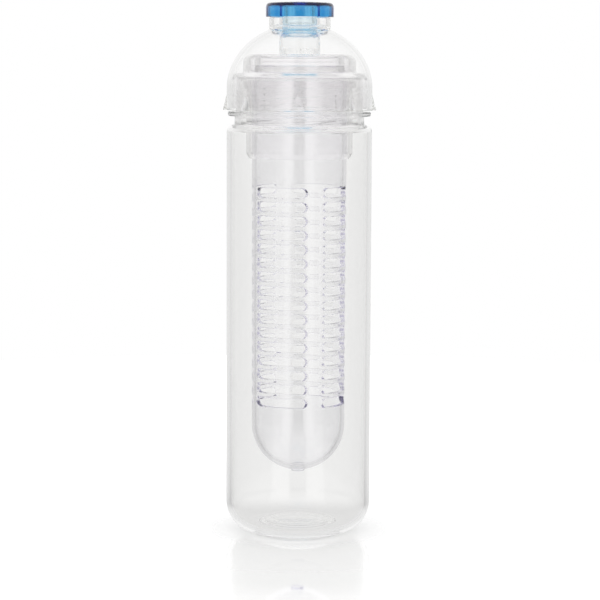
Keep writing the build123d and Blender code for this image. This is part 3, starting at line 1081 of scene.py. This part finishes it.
def deeper(tree, path, kind, times):
    """1 for a ray that was mirrored, let through or scattered more than so many times, else 0."""
    return combine(tree, "GREATER_THAN", path.outputs[kind + " Depth"], times + 0.5)


print("helpers:", [helper.__name__ for helper in (combine, curve, blend, deeper)])

# %% [markdown]
# The room is written as lists of places and levels, so a softbox is moved or dimmed by changing
# one pair of numbers. A picture of a studio would do the same, but it would be a file of its own.

# %% The paper and the room
# From the camera's side at 0 to the back at 1: dim front, softbox, dim side, and paper at the back.
room_levels = [(0.0, 0.2), (0.055, 0.2), (0.085, 0.9), (0.2, 0.9),
               (0.23, 0.45), (0.6, 0.45), (0.85, 0.74), (1.0, 0.78)]
mixed_level = 1.0  # what a ray sees that was mirrored more than once
# From straight down at 0 to straight up at 1: how much of the ceiling and the ground, and of the
# paper just above the horizon, takes the place of the room.
ceiling_level = 0.85
ceiling_share = [(0.0, 0.7), (0.35, 0.0), (0.52, 0.0), (0.6, 0.8), (1.0, 0.8)]
horizon_share = [(0.0, 0.0), (0.5, 0.0), (0.54, 1.0), (0.7, 1.0), (0.8, 0.0), (1.0, 0.0)]


def around(tree, x, y):
    """Level of the room in the direction (x, y): 0 turned from the front is the camera's side.

    The angle from the front is arctan2(|x|, -y) as a share of half a turn.
    """
    to_front = combine(tree, "MULTIPLY", y, -1.0)
    turned = combine(tree, "ARCTAN2", combine(tree, "ABSOLUTE", x), to_front)
    return curve(tree, combine(tree, "DIVIDE", turned, np.pi), room_levels)


world = bpy.data.worlds.new("studio")
bpy.context.scene.world = world
world.use_nodes = True
tree = world.node_tree
place = new_node(tree, "TexCoord", {}).outputs["Generated"]
direction = new_node(tree, "SeparateXYZ", {"Vector": place})
height = combine(tree, "MULTIPLY_ADD", direction.outputs["Z"], 0.5, 0.5)
room = around(tree, direction.outputs["X"], direction.outputs["Y"])
room = blend(tree, curve(tree, height, ceiling_share), room, ceiling_level)
# Just above the horizon, what the floor mirrors without plastic in between is the paper itself.
path = new_node(tree, "LightPath", {})
outside = combine(tree, "SUBTRACT", 1.0, deeper(tree, path, "Transmission", 0))
bare = combine(tree, "MULTIPLY", curve(tree, height, horizon_share), outside)
room = blend(tree, bare, room, 1.0)
room = blend(tree, deeper(tree, path, "Glossy", 1), room, mixed_level)
# Only mirrored rays see the room. Those that the floor scattered find plain white paper all round.
shown = combine(tree, "SUBTRACT", deeper(tree, path, "Glossy", 0), deeper(tree, path, "Diffuse", 0))
lit = blend(tree, shown, 1.0, room)
lit.node.clamp_factor = True
feed(tree, tree.nodes["Background"].inputs["Color"], (1, 1, 1, 1))
feed(tree, tree.nodes["Background"].inputs["Strength"], lit)
print("levels of the room from front to back:", [level for _, level in room_levels])

# %% [markdown]
# ## The floor
# The sheet under the bottle is a flat disc a hair's breadth below the foot, so the two never share a
# surface. A plane could do as well, but a disc ends at the same distance on all sides.

# %% Sheet under the bottle
floor_radius, floor_gap = 0.6, 0.05 * mm
floor_mesh = bpy.data.meshes.new("floor")
rim = arc((0, 0), (floor_radius, floor_radius), 0, 360, 96)[:-1]
floor_mesh.from_pydata([(x, y, -floor_gap) for x, y in rim], [], [list(range(len(rim)))])
floor = place_in_scene("floor", floor_mesh)
print("floor:", 2 * floor_radius, "m wide")

# %% [markdown]
# The sheet is white with a gloss that fades with the distance from the foot, as the mirror image
# does in the photograph. The camera sees its own white under the white room, with a faint painted
# glow that keeps it white further out and is weaker near the foot. So the bottle shades it only a
# little where it stands, and a slight painted shade stays there. Rays that come through the plastic
# see it as the lit paper, and rays that were mirrored see it with the room's pattern, so it continues
# the room without a seam. Just in front of the foot both see a painted shade, a patch a little
# dimmer, put where the bottle's own base looks down on the sheet that it shades.

# %% Glossy white floor
mirror_radius, mirror_roughness = 0.26, 0.03
# Painted shade: the level of the dimmer patch, and how far in front of the foot its centre lies.
painted_shade_level, painted_shade_ahead = 0.78, 40 * mm
# Each list holds places, as shares of the mirror's radius, and the level there.
mirror_share = [(0.0, 0.66), (0.11, 0.66), (0.18, 0.8), (0.4, 0.74), (0.6, 0.5), (1.0, 0.0)]
# Painted light: the sheet's own glow for the camera, weaker near the foot, so a slight painted shade
# stays there.
painted_glow = [(0.0, 0.1), (0.11, 0.1), (0.18, 0.25), (1.0, 0.25)]
# Painted shade: how much of it there is, by the distance from the patch's centre.
painted_shade_edge = [(0.0, 1.0), (0.25, 1.0), (0.42, 0.0), (1.0, 0.0)]


def distance_share(tree, place, centre):
    """Distance on the sheet from a point, as a share of the mirror's radius."""
    node = new_node(tree, "VectorMath", {0: place, 1: centre})
    node.operation = "DISTANCE"
    return combine(tree, "DIVIDE", node.outputs["Value"], mirror_radius)


def mix_shaders(tree, share, first, second):
    """Shader that goes from the first to the second as the share goes from 0 to 1."""
    return new_node(tree, "MixShader", {0: share, 1: first, 2: second}).outputs["Shader"]


def floor_material(name):
    """White sheet for the camera, lit paper through plastic, the room's pattern for mirrors, and a
    painted shade near the foot.
    """
    white = (1, 1, 1, 1)
    material, tree, sheet = new_material(name, {
        "Base Color": white, "Roughness": 1.0, "Specular IOR Level": 0.0, "Emission Color": white})
    place = new_node(tree, "TexCoord", {}).outputs["Object"]
    spot = new_node(tree, "SeparateXYZ", {"Vector": place})
    path = new_node(tree, "LightPath", {})
    share = distance_share(tree, place, (0, 0, 0))

    # What the camera sees: the white sheet under its gloss, with a painted glow that is weaker near
    # the foot.
    painted_lift = combine(tree, "MULTIPLY", path.outputs["Is Camera Ray"], curve(tree, share, painted_glow))
    feed(tree, sheet.inputs["Emission Strength"], painted_lift)
    mirror = new_node(tree, "BsdfGlossy", {"Color": white, "Roughness": mirror_roughness})
    mirror_level = curve(tree, share, mirror_share)
    glossy = mix_shaders(tree, mirror_level, sheet.outputs["BSDF"], mirror.outputs["BSDF"])

    # What the plastic lets through or mirrors: lit paper, or the room's pattern, both with a painted
    # shade just in front of the foot.
    # Painted shade: near is 1 in the patch in front of the foot, where the sheet is dimmed.
    near = curve(tree, distance_share(tree, place, (0, -painted_shade_ahead, 0)), painted_shade_edge)
    pattern = blend(tree, near, around(tree, spot.outputs["X"], spot.outputs["Y"]), painted_shade_level)
    pattern = blend(tree, deeper(tree, path, "Glossy", 1), pattern, mixed_level)
    mirrored = deeper(tree, path, "Glossy", 0)
    level = blend(tree, mirrored, blend(tree, near, 1.0, painted_shade_level), pattern)
    paper = new_node(tree, "Emission", {"Strength": level})
    beyond = combine(tree, "MAXIMUM", mirrored, deeper(tree, path, "Transmission", 0))
    seen = mix_shaders(tree, beyond, glossy, paper.outputs["Emission"])
    feed(tree, tree.nodes["Material Output"].inputs["Surface"], seen)
    return material


floor_mesh.materials.append(floor_material("white_floor"))
print("the floor's gloss ends", mirror_radius, "m from the axis")

# %% [markdown]
# ## The camera
# The picture was taken with a long lens from about a metre away, a little above the shoulder and
# tipped down, so that the base shows as a flat curve.

# %% Camera
pitch, roll = np.radians(6.24), np.radians(0.26)
camera_place = (0.64 * mm, -1.0, 215.6 * mm)
camera_data = bpy.data.cameras.new("camera")
camera_data.sensor_width, camera_data.lens = 36.0, 131.6  # both in millimetres
camera_data.clip_start, camera_data.clip_end = 0.05, 20.0
camera = place_in_scene("camera", camera_data)
camera.matrix_world = (Matrix.Translation(Vector(camera_place))
                       @ Matrix.Rotation(np.pi / 2 - pitch, 4, "X") @ Matrix.Rotation(roll, 4, "Z"))
scene = bpy.context.scene
scene.camera = camera
print("camera:", round(Vector(camera_place).length, 3), "m from the foot")

# %% [markdown]
# ## Light paths
# A ray through the lid crosses twenty skins and more, and one that runs out of bounces turns black,
# so the limits are high. Caustics stay on, because the light that comes through the plastic
# brightens the floor round the foot.

# %% Light paths
bounces = 96
scene.view_settings.view_transform = "Standard"
scene.cycles.max_bounces = bounces
scene.cycles.transmission_bounces = bounces
scene.cycles.glossy_bounces = bounces
scene.cycles.caustics_refractive = True
scene.cycles.caustics_reflective = True
